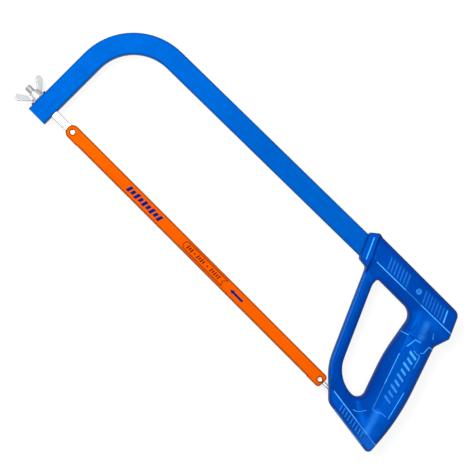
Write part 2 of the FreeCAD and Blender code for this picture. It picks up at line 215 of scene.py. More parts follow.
def rounded(corners, sagitta=0.02):
    """Points of a closed outline through (x, y, radius) corners, each rounded by a tangent arc."""
    points = []
    count = len(corners)
    for i, (x, y, radius) in enumerate(corners):
        here = np.array((x, y), float)
        before = unit(np.array(corners[i - 1][:2]) - here)
        after = unit(np.array(corners[(i + 1) % count][:2]) - here)
        if not radius:
            points.append(here)
            continue
        half = math.acos(before @ after) / 2
        centre = here + unit(before + after) * radius / math.sin(half)
        start = here + before * radius / math.tan(half) - centre
        end = here + after * radius / math.tan(half) - centre
        first = math.atan2(start[1], start[0])
        sweep = math.remainder(math.atan2(end[1], end[0]) - first, math.tau)
        steps = max(2, math.ceil(abs(sweep) / (2 * math.acos(1 - sagitta / radius))))
        for k in range(steps + 1):
            angle = first + sweep * k / steps
            points.append(centre + radius * np.array((math.cos(angle), math.sin(angle))))
    return np.array(points)


def resampled(loop, pitch):
    """The same closed loop with no side longer than pitch."""
    points = []
    for a, b in zip(loop, np.roll(loop, -1, axis=0)):
        steps = max(1, math.ceil(np.linalg.norm(b - a) / pitch))
        points += [a + (b - a) * k / steps for k in range(steps)]
    kept = [points[0]]
    for point in points[1:]:
        if np.linalg.norm(point - kept[-1]) > pitch / 3:
            kept.append(point)
    return np.array(kept)


def nearest_on(points, loop, closed=True):
    """Distance from each point to a loop or path, and the nearest place on it."""
    ends = np.roll(loop, -1, axis=0) if closed else loop[1:]
    best = np.full(len(points), 1e9)
    place = np.zeros((len(points), 2))
    for a, b in zip(loop, ends):
        along = b - a
        t = np.clip((points - a) @ along / (along @ along), 0, 1)
        foot = a + t[:, None] * along
        distance = np.hypot(*(points - foot).T)
        closer = distance < best
        best[closer] = distance[closer]
        place[closer] = foot[closer]
    return best, place


def inside(points, loop):
    x, y = points.T
    odd = np.zeros(len(points), bool)
    for (ax, ay), (bx, by) in zip(loop, np.roll(loop, -1, axis=0)):
        if ay == by:
            continue
        odd ^= ((ay > y) != (by > y)) & (x < (bx - ax) * (y - ay) / (by - ay) + ax)
    return odd


def depth_in(points, loop):
    """Distance to a loop, positive inside it."""
    distance = nearest_on(points, loop)[0]
    return np.where(inside(points, loop), distance, -distance)


def smooth(value, low, high):
    """0 below low, 1 above high, with a soft ramp between."""
    t = np.clip((value - low) / (high - low), 0, 1)
    return t * t * (3 - 2 * t)


def bead(distance, half_width):
    """1 on a line, falling to 0 at half_width from it."""
    return 1 - smooth(np.abs(distance), 0, half_width)


def line_side(points, start, end):
    """(distance to the left of the line through start and end, distance along it from start)."""
    along = unit(np.array(end, float) - np.array(start, float))
    offset = points - np.array(start, float)
    return along[0] * offset[:, 1] - along[1] * offset[:, 0], offset @ along


def span(along, start, end, soft=2.0):
    """1 between start and end along a line, with soft ends."""
    return smooth(along, start, start + soft) * (1 - smooth(along, end - soft, end))


def quarter_round(t):
    """0 to 1 along a quarter of a circle, steep at first."""
    t = np.clip(t, 0, 1)
    return np.sqrt(1 - (1 - t) ** 2)


# ---- handle surface ----

OUTER = rounded(OUTLINE)
HOLE = rounded(FINGER_HOLE)
PANEL_LOOP = rounded(PANEL)

# Highest level of each face over the seam, and of the low ground between them
GUARD_TOP = 9.0
BODY_TOP = 13.0
GRIP_TOP = 15.5
BUTT_TOP = 12.5
NOSE_TOP = 11.0
FLOOR_LEVEL = 5.0

STRIP_WIDTH = 3.4      # the guard's outer strip, before its face falls more steeply
BODY_BAND = 14.0       # the body's face above the ridge, likewise
HEEL_BAND = 7.3        # the butt's face below its line, likewise
FRONT_CURVE = 0.0156   # fall of the grip's crown, per square of the distance from its crest
BACK_CURVE = 0.009
FLANK_FALL = 0.30
NOSE_FALL = 0.56
BAND_RISE = 0.36       # rise of the ground just below the ridge
CREASE_WIDTH = 0.6     # how softly neighbouring faces meet
GRIP_BLEND = 3.0
NOSE_BLEND = 4.0

COLLAR_EDGE = (3.4, 4.2)
COLLAR_GROOVE = (5.4, 1.3, 0.9)     # distance from the collar's line, half width, depth
GUARD_GROOVE = (3.6, 0.9, 0.35)     # distance from the outline, half width, depth
BODY_RIB_SPAN = (1.5, 13.2)
BUTT_RIB_SPAN = (1.2, 7.0)
BUTT_RIB_START = 13.0
BUTT_RIB_PITCH = 3.6
RIB_REF_Y = 113.0
EMBLEM = (156.0, 113.0)
EMBLEM_RADIUS = 1.9

# Height of the outer wall where it meets the faces, and the radius of that edge
WALL_TOP = 4.6
COLLAR_WALL = 9.6
BUTT_WALL = 6.5
GUARD_RADIUS = 1.4
HOLE_EDGE_RADIUS = 3.4
GRIP_RADIUS = 3.6
BODY_RADIUS = 2.6
COLLAR_RADIUS = 1.5
BUTT_RADIUS = 2.2


class Place:
    """Where points of the handle lie relative to its edges and lines, as one value per point."""

    def __init__(self, points):
        self.points = points
        self.x, self.y = points.T
        self.from_outline = nearest_on(points, OUTER)[0]
        self.from_hole = nearest_on(points, HOLE)[0]
        self.edge = np.minimum(self.from_outline, self.from_hole)
        self.over = self.y - RIDGE_Y - RIDGE_RISE * (self.x - RIDGE_START_X)
        self.collar, _ = line_side(points, *COLLAR_LINE)
        self.butt, self.butt_run = line_side(points, *BUTT_LINE)
        self.above_guard = smooth(self.y, 92, 96)
        self.in_collar = (1 - smooth(self.collar, *COLLAR_EDGE)) * self.above_guard
        self.in_butt = smooth(-self.butt, -0.4, 0.4) * smooth(self.x, 150, 152)
        self.in_grip = smooth(self.x, 166, 176) * (1 - smooth(self.y, 84, 102))
        self.along_guard = (1 - smooth(self.y, 88, 95)) * (1 - smooth(self.x, 142, 152))


def soft_max(first, second, width):
    """The higher of two levels, blended over the given width where they meet."""
    return (first + second + np.hypot(first - second, width)) / 2


def guard_level(at):
    """Outer strip nearly flat, then a face that falls towards the finger hole."""
    fade = 4 * smooth(at.x, 158, 175)
    fall = 0.12 * at.from_outline + 0.18 * np.maximum(at.from_outline - STRIP_WIDTH, 0)
    return np.maximum(GUARD_TOP - fall - fade, FLOOR_LEVEL)


def grip_level(at):
    """A crown along the grip's crest, with one flatter flank in front of it."""
    across, _ = line_side(at.points, *CREST)
    flank, _ = line_side(at.points, *GRIP_LINE)
    top = GRIP_TOP - 3.0 * smooth(at.y, 72, 108) - 2.2 * (1 - smooth(at.y, -8, 24))
    curve = np.where(across < 0, FRONT_CURVE, BACK_CURVE)
    return top - curve * across ** 2 - FLANK_FALL * np.maximum(-flank, 0) * smooth(at.y, -12, 8)


def body_level(over):
    """Face above the ridge: a shallow fall, then a steeper band along the top."""
    return BODY_TOP - 0.15 * over - 0.22 * np.maximum(over - BODY_BAND, 0)


def heel_level(butt):
    """Face below the butt's line: nearly flat, then a steeper band along the bottom."""
    return BUTT_TOP + 0.04 * np.minimum(butt, 0) - 0.5 * np.maximum(-butt - HEEL_BAND, 0)


def big_faces(at):
    """The handle's faces, each blended into its neighbours."""
    band = BODY_TOP - 0.7 + BAND_RISE * at.over
    nose = NOSE_TOP - NOSE_FALL * at.butt
    level = soft_max(soft_max(guard_level(at), band, CREASE_WIDTH), nose, CREASE_WIDTH)
    level = soft_max(level, grip_level(at), GRIP_BLEND + NOSE_BLEND * (1 - smooth(at.y, 8, 30)))
    level = level + (body_level(at.over) - level) * smooth(at.over, -0.5, 0.5)
    wedge = BODY_TOP - 0.1 + 0.05 * np.minimum(at.collar, 0)
    level = level + (wedge - level) * at.in_collar
    return level + (heel_level(at.butt) - level) * at.in_butt


def add_grooves(at, level, wear_and_painted_light):
    """One groove behind the collar and one along the guard, with a lighter strip outside it: a painted
    highlight, partly rubbed wear.
    """
    distance, half_width, depth = COLLAR_GROOVE
    level = level - depth * bead(at.collar - distance, half_width) * at.above_guard
    distance, half_width, depth = GUARD_GROOVE
    level = level - depth * bead(at.from_outline - distance, half_width) * at.along_guard
    return level, np.maximum(wear_and_painted_light, 0.08 * bead(at.from_outline - 1.8, 1.5) * at.along_guard)


def add_panel(at, level, wear_and_painted_light):
    """Shallow panel of the grip with slanted bars, long and short in turn."""
    level = level - 0.35 * smooth(depth_in(at.points, PANEL_LOOP), 0, 1.2)
    across, along = line_side(at.points, *BAR_LINE)
    for k in range(BARS):
        lean = along - BAR_PITCH * k - LEAN * across
        reach = 3.4 - 0.9 * (k % 2)
        bar = (1 - smooth(np.abs(lean), 0.5, 1.5)) * (1 - smooth(np.abs(across), reach, reach + 1))
        level = level + 0.75 * bar
        # the bars' tops carry a painted highlight, fading along the row
        wear_and_painted_light = np.maximum(wear_and_painted_light, (0.55 - 0.045 * k) * bar)
    return level, wear_and_painted_light


def add_rib(level, wear_and_painted_light, rib, height, shine):
    # shine: strength of the painted highlight along the rib's top, partly wear
    return level + height * rib, np.maximum(wear_and_painted_light, shine * rib)


def add_ribs(at, level, wear_and_painted_light):
    """Ribs of the body, leaning like the collar, and of the butt, with grooves between those."""
    share = span(at.over, *BODY_RIB_SPAN, 1.5)
    slanted = at.x + LEAN * (at.y - RIB_REF_Y)
    for first, count, pitch in BODY_RIBS:
        for k in range(count):
            rib = bead(slanted - first - pitch * k, 1.15) * share
            level, wear_and_painted_light = add_rib(level, wear_and_painted_light, rib, 0.35, 0.12)
    level, wear_and_painted_light = add_rib(level, wear_and_painted_light, bead(slanted - STRONG_RIB_X, 0.9) * share, 0.5, 0.9)
    share = span(-at.butt, *BUTT_RIB_SPAN, 1.2)
    for k in range(BUTT_RIBS):
        lean = at.butt_run + LEAN * at.butt - BUTT_RIB_START - BUTT_RIB_PITCH * k
        level, wear_and_painted_light = add_rib(level, wear_and_painted_light, bead(lean, 1.1) * share, 0.45, 0.22)
        level = level - 0.6 * bead(lean - BUTT_RIB_PITCH / 2, 0.9) * share
    return level, wear_and_painted_light


def add_emblem(at, level, wear_and_painted_light):
    """A small ring and dot in place of a mark."""
    emblem = np.hypot(at.x - EMBLEM[0], at.y - EMBLEM[1])
    ring = np.maximum(bead(emblem - EMBLEM_RADIUS, 0.8), 1 - smooth(emblem, 0.3, 0.9))
    return add_rib(level, wear_and_painted_light, ring, 0.4, 0.4)


def add_lines(at, level, wear_and_painted_light):
    """Fine raised lines with a painted highlight along them, partly rubbed wear, and fine grooves."""
    for path, half_width, shine in RAISED_LINES:
        gap = nearest_on(at.points, np.array(path), closed=False)[0]
        level, wear_and_painted_light = add_rib(level, wear_and_painted_light, bead(gap, half_width), 0.28, shine)
    for path in GROOVES:
        gap = nearest_on(at.points, np.array(path), closed=False)[0]
        level = level - 0.4 * bead(gap, GROOVE_HALF)
    return level, wear_and_painted_light


def rounded_off(at, level):
    """The faces brought down to the walls along the outline and the finger hole."""
    outside = at.from_outline < at.from_hole
    radius = np.where(outside, GUARD_RADIUS, HOLE_EDGE_RADIUS)
    radius = radius + (GRIP_RADIUS - radius) * at.in_grip
    radius = np.where(at.over > -3, BODY_RADIUS, radius)
    radius = radius + (COLLAR_RADIUS - radius) * at.in_collar
    radius = radius + (BUTT_RADIUS - radius) * at.in_butt
    wall = WALL_TOP + 2.0 * at.in_grip * outside + 1.8 * smooth(at.over, -6, 0)
    wall = wall + (COLLAR_WALL - wall) * (1 - smooth(at.collar, 0, 6)) * at.above_guard
    wall = wall + (BUTT_WALL - wall) * at.in_butt
    return np.minimum(wall + (level - wall) * quarter_round(at.edge / radius), GRIP_TOP)


def surface(points):
    """Height of the handle's outer face over the seam, its painted highlight and wear, and how far from an
    edge.
    """
    at = Place(points)
    level = big_faces(at)
    # a faint painted highlight on the heel of the butt
    wear_and_painted_light = 0.04 * at.in_butt * smooth(at.x, 196, 212)
    for add in (add_grooves, add_panel, add_ribs, add_emblem, add_lines):
        level, wear_and_painted_light = add(at, level, wear_and_painted_light)
    return rounded_off(at, level), wear_and_painted_light * smooth(at.edge, 0.1, 1.0), at.edge


# What the shells hold: screw bosses, tube, tube pins, anchor and its cross pin
BOSS_RADIUS = 4.4
PILOT_RADIUS = 1.7
PILOT_TOP = 4.2
TUBE_GAP = 0.1
TUBE_PINS = (111.5, 150.0)
TUBE_PIN_RADIUS = 2.1
TUBE_PIN_TOP = 9.05
ANCHOR_PIN_X = 179.0
ANCHOR_PIN_RADIUS = 1.6
ANCHOR_PIN_TOP = 6.05
CRADLE = (158.5, 191.4, 6.0)      # first x, last x and half width of the solid block around the anchor
ANCHOR_SEAT = (167.4, 189.1, 3.6)
ANCHOR_SEAT_TOP = 3.55
NECK_HALF = 1.9
NECK_TOP = 3.6


def in_block(x, y, block):
    first, last, half_width = block
    return (np.abs(y) < half_width) & (x > first) & (x < last)


def inner_surface(points, side):
    """Height of the shell's inner face over the seam: the hollow, and the seats of what it holds."""
    height, _, edge = surface(points)
    x, y = points.T
    hollow = np.where(edge > WALL, np.maximum(height - WALL, 0), 0.0)
    for px, py in SCREW_POINTS:
        hollow = np.where(np.hypot(x - px, y - py) < BOSS_RADIUS, 0.0, hollow)
        hollow = np.where(np.hypot(x - px, y - py) < PILOT_RADIUS, PILOT_TOP, hollow)
    centre = RUN_Y + RUN_RISE * x
    in_tube = (np.abs(y - centre) < TUBE_WIDTH / 2 + TUBE_GAP) & (x < RUN_END_X + 2 * TUBE_GAP)
    hollow = np.where(in_tube, TUBE_DEPTH / 2 + TUBE_GAP / 2, hollow)
    hollow = np.where(in_block(x, y, CRADLE), 0.0, hollow)
    hollow = np.where(in_block(x, y, ANCHOR_SEAT), ANCHOR_SEAT_TOP, hollow)
    if side < 0:
        neck = (np.abs(y) < NECK_HALF) & (x < 168)
        hollow = np.where(neck, NECK_TOP, hollow)
    for px in TUBE_PINS:
        on_pin = np.hypot(x - px, y - RUN_Y - RUN_RISE * px) < TUBE_PIN_RADIUS
        hollow = np.where(on_pin, TUBE_PIN_TOP, hollow)
    hollow = np.where(np.hypot(x - ANCHOR_PIN_X, y) < ANCHOR_PIN_RADIUS, ANCHOR_PIN_TOP, hollow)
    return np.minimum(hollow, height - 1.0)


def circle(x, y, radius, count):
    angles = [math.tau * k / count for k in range(count)]
    return np.array([(x + radius * math.cos(a), y + radius * math.sin(a)) for a in angles])


def spaced(row, points, gap):
    """The row's points that keep a gap from the given ones and from the one before."""
    tree = KDTree(len(points))
    for i, (x, y) in enumerate(points):
        tree.insert((x, y, 0), i)
    tree.balance()
    kept = []
    for point in row:
        if kept and np.linalg.norm(point - kept[-1]) < gap:
            continue
        if tree.find((*point, 0))[2] > gap:
            kept.append(point)
    return kept


def plate(loops, keep, pitch, rows=()):
    """Triangles over a flat region: points, triangles and the point numbers of each loop."""
    points = []
    edges = []
    rings = []
    for loop in loops:
        first = len(points)
        points += list(loop)
        ring = list(range(first, len(points)))
        rings.append(ring)
        edges += list(zip(ring, ring[1:] + ring[:1]))

    def clearance(row):
        return np.min([nearest_on(row, loop)[0] for loop in loops], axis=0)

    for row in rows:
        row = row[keep(row)]
        if len(row):
            points += spaced(row[clearance(row) > ROW_GAP], points, ROW_GAP)
    low = loops[0].min(axis=0)
    high = loops[0].max(axis=0)
    gx, gy = np.meshgrid(np.arange(low[0], high[0], pitch), np.arange(low[1], high[1], pitch))
    grid = np.column_stack((gx.ravel(), gy.ravel()))
    grid = grid[keep(grid)]
    points += spaced(grid[clearance(grid) > 0.5 * pitch], points, 0.5 * pitch)
    found = delaunay_2d_cdt([Vector(p) for p in points], edges, [], 0, 1e-7)
    where = {}
    for i, sources in enumerate(found[3]):
        for source in sources:
            where[source] = i
    flat = np.array([tuple(v) for v in found[0]])
    triangles = np.array([f for f in found[2] if len(f) == 3])
    middles = flat[triangles].mean(axis=1)
    triangles = triangles[keep(middles)]
    return flat, triangles, [[where[i] for i in ring] for ring in rings]


def in_handle(points):
    return inside(points, OUTER) & ~inside(points, HOLE)


def inward(loop):
    """Unit normals at a loop's points, into the handle."""
    ahead = np.roll(loop, -1, axis=0) - np.roll(loop, 1, axis=0)
    normal = np.column_stack((-ahead[:, 1], ahead[:, 0]))
    normal /= np.linalg.norm(normal, axis=1)[:, None]
    return normal if in_handle(loop[:1] + normal[:1] * 0.3)[0] else -normal


def beside(path, offset):
    """Points along a path, at a fixed distance to the left of it."""
    row = []
    for a, b in zip(np.array(path, float), np.array(path[1:], float)):
        along = unit(b - a)
        left = np.array((-along[1], along[0]))
        steps = max(1, round(np.linalg.norm(b - a) / ROW_PITCH))
        row += [a + (b - a) * k / steps + left * offset for k in range(steps + 1)]
    return np.array(row)


def handle_rows(loops):
    """Rows of points along the handle's lines and edges, so that its surface follows them cleanly."""
    rows = []
    for path, half_width, _ in RAISED_LINES:
        if half_width < 1:
            rows += [beside(path, offset) for offset in (0, -half_width, half_width)]
    for path in GROOVES:
        rows += [beside(path, offset) for offset in (0, -GROOVE_HALF, GROOVE_HALF)]
    start, end = np.array(COLLAR_LINE)
    longer = (start - 0.4 * (end - start), end + 0.3 * (end - start))
    rows += [beside(longer, offset) for offset in COLLAR_ROWS]
    for loop in loops:
        for depth in EDGE_ROWS:
            row = loop + inward(loop) * depth
            clear = np.minimum(nearest_on(row, OUTER)[0], nearest_on(row, HOLE)[0])
            rows.append(row[clear > 0.97 * depth])
    return rows


def mesh_object(name, points, faces, material, body, layer=None):
    """A piece made from saw-frame points, on a body and in a slot, with an optional layer of wear and
    painted light.
    """
    mesh = bpy.data.meshes.new(name)
    mesh.from_pydata([tuple(p) for p in placed(points)], [], [tuple(int(i) for i in f) for f in faces])
    mesh.validate()
    if layer is not None:
        wear_and_painted_light = mesh.attributes.new("wear_and_painted_light", "FLOAT", "POINT")
        wear_and_painted_light.data.foreach_set("value", np.asarray(layer, np.float32))
    cleaned = bmesh.new()
    cleaned.from_mesh(mesh)
    bmesh.ops.recalc_face_normals(cleaned, faces=cleaned.faces)
    cleaned.to_mesh(mesh)
    cleaned.free()
    mesh.shade_smooth()
    mesh.set_sharp_from_angle(angle=math.radians(SHARP_ANGLE))
    mesh.materials.append(material)
    piece = bpy.data.objects.new(name, mesh)
    bpy.context.scene.collection.objects.link(piece)
    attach(piece, body)
    return piece


def handle_shell(name, node, side, material):
    """One moulded half. side is 1 for the half over the seam and -1 for the one under it."""
    loops = [resampled(OUTER, PITCH), resampled(HOLE, PITCH)]
    wells = [circle(x, y, WELL_RADIUS, 32) for x, y in SCREW_POINTS] if side < 0 else []
    flat, triangles, rings = plate(loops + wells, in_handle, PITCH, handle_rows(loops))

    edge, foot = nearest_on(flat, OUTER)
    other, other_foot = nearest_on(flat, HOLE)
    foot[other < edge] = other_foot[other < edge]
    edge = np.minimum(edge, other)
    eased = EASE * (1 - np.cos(np.pi / 2 * np.minimum(edge / EASE, 1)))
    share = np.where(edge < EASE, eased / np.maximum(edge, 1e-6), 1.0)
    for x, y in SCREW_POINTS if side < 0 else ():
        away = smooth(np.hypot(flat[:, 0] - x, flat[:, 1] - y), WELL_RADIUS, WELL_RADIUS + 2)
        share = 1 + (share - 1) * away
    outer = foot + (flat - foot) * share[:, None]
    height, wear_and_painted_light, _ = surface(outer)

    count = len(flat)
    inner_height = inner_surface(flat, side)
    points = [np.column_stack((outer, height)), np.column_stack((flat, inner_height))]
    faces = []
    middles = flat[triangles].mean(axis=1)
    in_well = np.zeros(len(triangles), bool)
    for x, y in SCREW_POINTS if side < 0 else ():
        in_well |= np.hypot(middles[:, 0] - x, middles[:, 1] - y) < WELL_RADIUS
    faces += [tuple(t) for t in triangles[~in_well]]
    faces += [(c + count, b + count, a + count) for a, b, c in triangles]
    total = 2 * count

    # walls down to the seam, with a small chamfer where the halves meet
    for ring in rings[:2]:
        loop = flat[ring]
        points[1][ring, :2] = loop + inward(loop) * SEAM_INSET
        middle = np.column_stack((loop, inner_height[ring] + SEAM_CHAMFER))
        points.append(middle)
        for k in range(len(ring)):
            after = (k + 1) % len(ring)
            faces.append((ring[k], ring[after], total + after, total + k))
            faces.append((total + k, total + after, ring[after] + count, ring[k] + count))
        total += len(ring)

    # screw wells: a wall and a floor each
    for (x, y), ring in zip(SCREW_POINTS, rings[2:]):
        within = np.hypot(middles[:, 0] - x, middles[:, 1] - y) < WELL_RADIUS
        points[0][np.hypot(flat[:, 0] - x, flat[:, 1] - y) < WELL_RADIUS - 0.1, 2] = WELL_FLOOR
        points.append(np.column_stack((flat[ring], np.full(len(ring), WELL_FLOOR))))
        lowered = {index: total + k for k, index in enumerate(ring)}
        for k in range(len(ring)):
            after = (k + 1) % len(ring)
            faces.append((ring[k], ring[after], total + after, total + k))
        faces += [tuple(lowered.get(i, i) for i in t) for t in triangles[within]]
        total += len(ring)

    points = np.vstack(points)
    layer = np.zeros(len(points))
    layer[:count] = wear_and_painted_light
    points[:, 2] *= side
    piece = mesh_object(name, points, faces, material, "frame", layer=layer)
    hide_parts(node)
    return piece


# ---- blade ----

def toothed(loop):
    """The blade's outline with teeth that face the front along its lower side."""
    sides = np.linalg.norm(np.roll(loop, -1, axis=0) - loop, axis=1)
    lower = int(np.argmax(sides * (loop[:, 1] < 0)))
    count = int(TOOTHED_LENGTH / TOOTH_PITCH)
    first = -count * TOOTH_PITCH / 2
    edge = -BLADE_WIDTH / 2
    teeth = [(first, edge)]
    for k in range(count):
        x = first + k * TOOTH_PITCH
        teeth.append((x + TOOTH_PITCH * TOOTH_GULLET_SHARE, edge + TOOTH_DEPTH))
        teeth.append((x + TOOTH_PITCH, edge))
    return np.vstack((loop[:lower + 1], teeth, loop[lower + 1:]))


def blade_outline():
    front = -HOLE_SPACING / 2 - BLADE_FRONT_MARGIN
    rear = HOLE_SPACING / 2 + BLADE_REAR_MARGIN
    half = BLADE_WIDTH / 2
    return toothed(rounded([
        (front, -half, half - 0.01), (rear, -half, BLADE_REAR_CORNER),
        (rear, half, BLADE_REAR_CORNER), (front, half, half - 0.01),
    ]))


def saw_blade(material):
    """Flat strip with two holes, a wavy set along the teeth, and a band along the edges that is rubbed and
    carries painted shade.
    """
    outline = resampled(blade_outline(), 1.2)
    holes = [circle(x, 0, HOLE_RADIUS, 40) for x in (-HOLE_SPACING / 2, HOLE_SPACING / 2)]

    def in_blade(points):
        from_hole = np.hypot(np.abs(points[:, 0]) - HOLE_SPACING / 2, points[:, 1])
        return inside(points, outline) & (from_hole > HOLE_RADIUS * 0.99)

    flat, triangles, rings = plate([outline] + holes, in_blade, BLADE_STEP)
    edge = nearest_on(flat, outline)[0]
    for hole in holes:
        edge = np.minimum(edge, nearest_on(flat, hole)[0])
    near_teeth = 1 - smooth(flat[:, 1] + BLADE_WIDTH / 2, 0.5, 2.2)
    bend = SET_WIDTH * np.sin(math.tau * flat[:, 0] / SET_LENGTH) * near_teeth
    half = BLADE_THICKNESS / 2
    points = np.vstack((np.column_stack((flat, bend + half)), np.column_stack((flat, bend - half))))
    count = len(flat)
    faces = [tuple(t) for t in triangles]
    faces += [(c + count, b + count, a + count) for a, b, c in triangles]
    for ring in rings:
        for a, b in zip(ring, ring[1:] + ring[:1]):
            faces.append((a, b, b + count, a + count))
    # band along the edges: painted edge shade in the colour, rubbed lacquer in the roughness
    rubbed_and_shaded_edge = 1 - smooth(edge, 0.6, 1.4)
    piece = mesh_object("saw_blade", points, faces, material, "blade",
                        layer=np.concatenate((rubbed_and_shaded_edge, rubbed_and_shaded_edge)))
    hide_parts("blade")


def slab(loop, low, high):
    """Points and faces of a flat closed shape between two heights."""
    count = len(loop)
    points = [(x, y, high) for x, y in loop] + [(x, y, low) for x, y in loop]
    faces = [tuple(range(count)), tuple(range(2 * count - 1, count - 1, -1))]
    faces += [(k, (k + 1) % count, (k + 1) % count + count, k + count) for k in range(count)]
    return points, faces


def hoop(loop, width, low, high):
    """Points and faces of a line of the given width along a closed loop."""
    ahead = np.roll(loop, -1, axis=0) - loop
    ahead /= np.linalg.norm(ahead, axis=1)[:, None]
    behind = np.roll(ahead, 1, axis=0)
    mitre = ahead + behind
    normal = np.column_stack((-mitre[:, 1], mitre[:, 0]))
    normal /= 1 + np.sum(ahead * behind, axis=1)[:, None]
    outer = loop + normal * width / 2
    inner = loop - normal * width / 2
    count = len(loop)
    points = [(*p, z) for z in (high, low) for side in (outer, inner) for p in side]
    faces = []
    for k in range(count):
        j = (k + 1) % count
        faces.append((k, j, j + count, k + count))
        faces.append((k + 2 * count, j + 2 * count, j + 3 * count, k + 3 * count))
        faces.append((k, j, j + 2 * count, k + 2 * count))
        faces.append((k + count, j + count, j + 3 * count, k + 3 * count))
    return points, faces


def ink(name, shapes, material):
    """A thin printed layer on the blade's upper face, made of (points, faces) shapes."""
    points = []
    faces = []
    for shape_points, shape_faces in shapes:
        faces += [tuple(i + len(points) for i in face) for face in shape_faces]
        points += shape_points
    mesh_object(name, points, faces, material, "blade")


def slanted_bar(x, y, width, height, slant):
    lean = slant * height / 2
    return [(x - width / 2 - lean, y - height / 2), (x + width / 2 - lean, y - height / 2),
            (x + width / 2 + lean, y + height / 2), (x - width / 2 + lean, y + height / 2)]


def blade_print(navy, maroon):
    """Plain marks: a row of bars, a tag outline with strokes, and an arrow towards the front."""
    low = BLADE_THICKNESS / 2 - 0.01
    high = BLADE_THICKNESS / 2 + INK_THICKNESS
    bars = []
    for k in range(PRINT_BARS):
        bar = slanted_bar(PRINT_BARS_X + PRINT_BAR_PITCH * k, 0.2, 3.1, 5.6 - 1.3 * (k % 2), 0.3)
        bars.append(slab(bar, low, high))
    arrow = [
        (41.0, 0.1), (45.2, 2.4), (44.6, 1.15), (56.0, 1.15),
        (56.0, -0.95), (44.6, -0.95), (45.2, -2.2),
    ]
    ink("print_navy", bars + [slab(arrow, low, high)], navy)

    tag = rounded([
        (-15.0, -3.1, 3.3), (33.0, -3.1, 0), (31.0, 0.4, 0), (34.5, 3.9, 0), (-15.0, 3.9, 3.3),
    ])
    strokes = [hoop(tag, 0.6, low, high)]
    for first, count in STROKE_GROUPS:
        for k in range(count):
            bar = slanted_bar(first + STROKE_PITCH * k, 0.4, 1.15, 3.8 - 1.0 * (k % 2), 0.2)
            strokes.append(slab(bar, low, high))
    for x in (-2.2, 13.0):
        strokes.append(slab(circle(x, 0.2, 0.75, 16), low, high))
    ink("print_maroon", strokes, maroon)


# ---- tensioner ----

def wing_nut(material):
    """Cast nut: tapered hub with a bore and two wings, blended where they meet."""
    points = []
    faces = []
    profile = [
        (NUT_BORE_RADIUS, 0), (NUT_BASE_RADIUS, 0),
        (NUT_TOP_RADIUS, NUT_HEIGHT), (NUT_BORE_RADIUS, NUT_HEIGHT),
    ]
    steps = 48
    corners = len(profile)
    total = corners * steps
    for k in range(steps):
        angle = math.tau * k / steps
        points += [(NUT_FACE_X - h, r * math.cos(angle), r * math.sin(angle)) for r, h in profile]
        for j in range(corners):
            a = corners * k + j
            b = corners * k + (j + 1) % corners
            faces.append((a, b, (b + corners) % total, (a + corners) % total))
    outline = rounded(WING_OUTLINE)
    for turn in (WING_TURN, WING_TURN + math.pi):
        first = len(points)
        for t in (-WING_THICKNESS / 2, WING_THICKNESS / 2):
            for d, h in outline:
                points.append((NUT_FACE_X - h, d * math.cos(turn) - t * math.sin(turn),
                               d * math.sin(turn) + t * math.cos(turn)))
        count = len(outline)
        faces.append(tuple(range(first, first + count)))
        faces.append(tuple(range(first + 2 * count - 1, first + count - 1, -1)))
        for k in range(count):
            j = (k + 1) % count
            faces.append((first + k, first + j, first + j + count, first + k + count))
    piece = mesh_object("cast_wing_nut", points, faces, material, "wing_nut")
    remesh = piece.modifiers.new("blend", "REMESH")
    remesh.mode = "VOXEL"
    remesh.voxel_size = 0.22 * MM
    remesh.use_smooth_shade = True
    soften = piece.modifiers.new("soften", "SMOOTH")
    soften.factor = 0.5
    soften.iterations = 12
    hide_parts("wing_nut")


def thread_radius(x, angle):
    """Radius of a right-hand 60 degree thread, less at the stud's tip."""
    phase = (x / THREAD_PITCH + angle / math.tau) % 1
    flank = min(max(1.15 * abs(2 * phase - 1) - 0.05, 0), 1)
    radius = THREAD_RADIUS - THREAD_DEPTH * (1 - flank)
    return min(radius, THREAD_RADIUS - STUD_CHAMFER + (x - STUD_TIP_X))


def block_radius(half_width, half_height, angle):
    """Distance from the middle of a rectangle with softened corners to its side."""
    power = 8
    across = abs(math.cos(angle) / half_width) ** power
    upright = abs(math.sin(angle) / half_height) ** power
    return (across + upright) ** (-1 / power)


def stud_rings():
    """Sections along the stud, as (x, middle height, radius at an angle)."""
    rings = []
    start = LEG_FACE_X + SHANK_START_GAP
    steps = round((start - STUD_TIP_X) / 0.125)
    for k in range(steps + 1):
        x = STUD_TIP_X + (start - STUD_TIP_X) * k / steps
        rings.append((x, 0, lambda angle, x=x: thread_radius(x, angle)))
    half = SHANK_SIDE / 2
    for x, cut in ((start + 0.01, 0.25), (start + 0.25, 0), (SHANK_END_X - 0.25, 0), (SHANK_END_X, 0.25)):
        rings.append((x, 0, lambda angle, cut=cut: block_radius(half - cut, half - cut, angle)))
    middle = (TONGUE_TOP - half) / 2
    thick = (TONGUE_TOP + half) / 2
    bend = TONGUE_END_X - TONGUE_CORNER
    for x in (SHANK_END_X + 0.01, *np.linspace(bend, TONGUE_END_X - 0.01, 9)):
        width = half - TONGUE_CORNER + math.sqrt(TONGUE_CORNER ** 2 - max(x - bend, 0) ** 2)
        rings.append((x, middle, lambda angle, width=width: block_radius(width, thick, angle)))
    return rings


def draw_stud(material):
    """Threaded end, square shank and flat tongue, as sections joined from end to end."""
    around = 64
    points = []
    faces = []
    rings = stud_rings()
    for x, middle, radius in rings:
        for k in range(around):
            angle = math.tau * (k + 0.5) / around
            points.append((x, radius(angle) * math.cos(angle), middle + radius(angle) * math.sin(angle)))
    for ring in range(len(rings) - 1):
        for k in range(around):
            a = ring * around + k
            b = ring * around + (k + 1) % around
            faces.append((a, b, b + around, a + around))
    faces.append(tuple(range(around)))
    faces.append(tuple(range(len(points) - around, len(points))))
    piece = mesh_object("threaded_stud", points, faces, material, "draw_stud")
    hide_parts("draw_stud")


# ---- materials ----

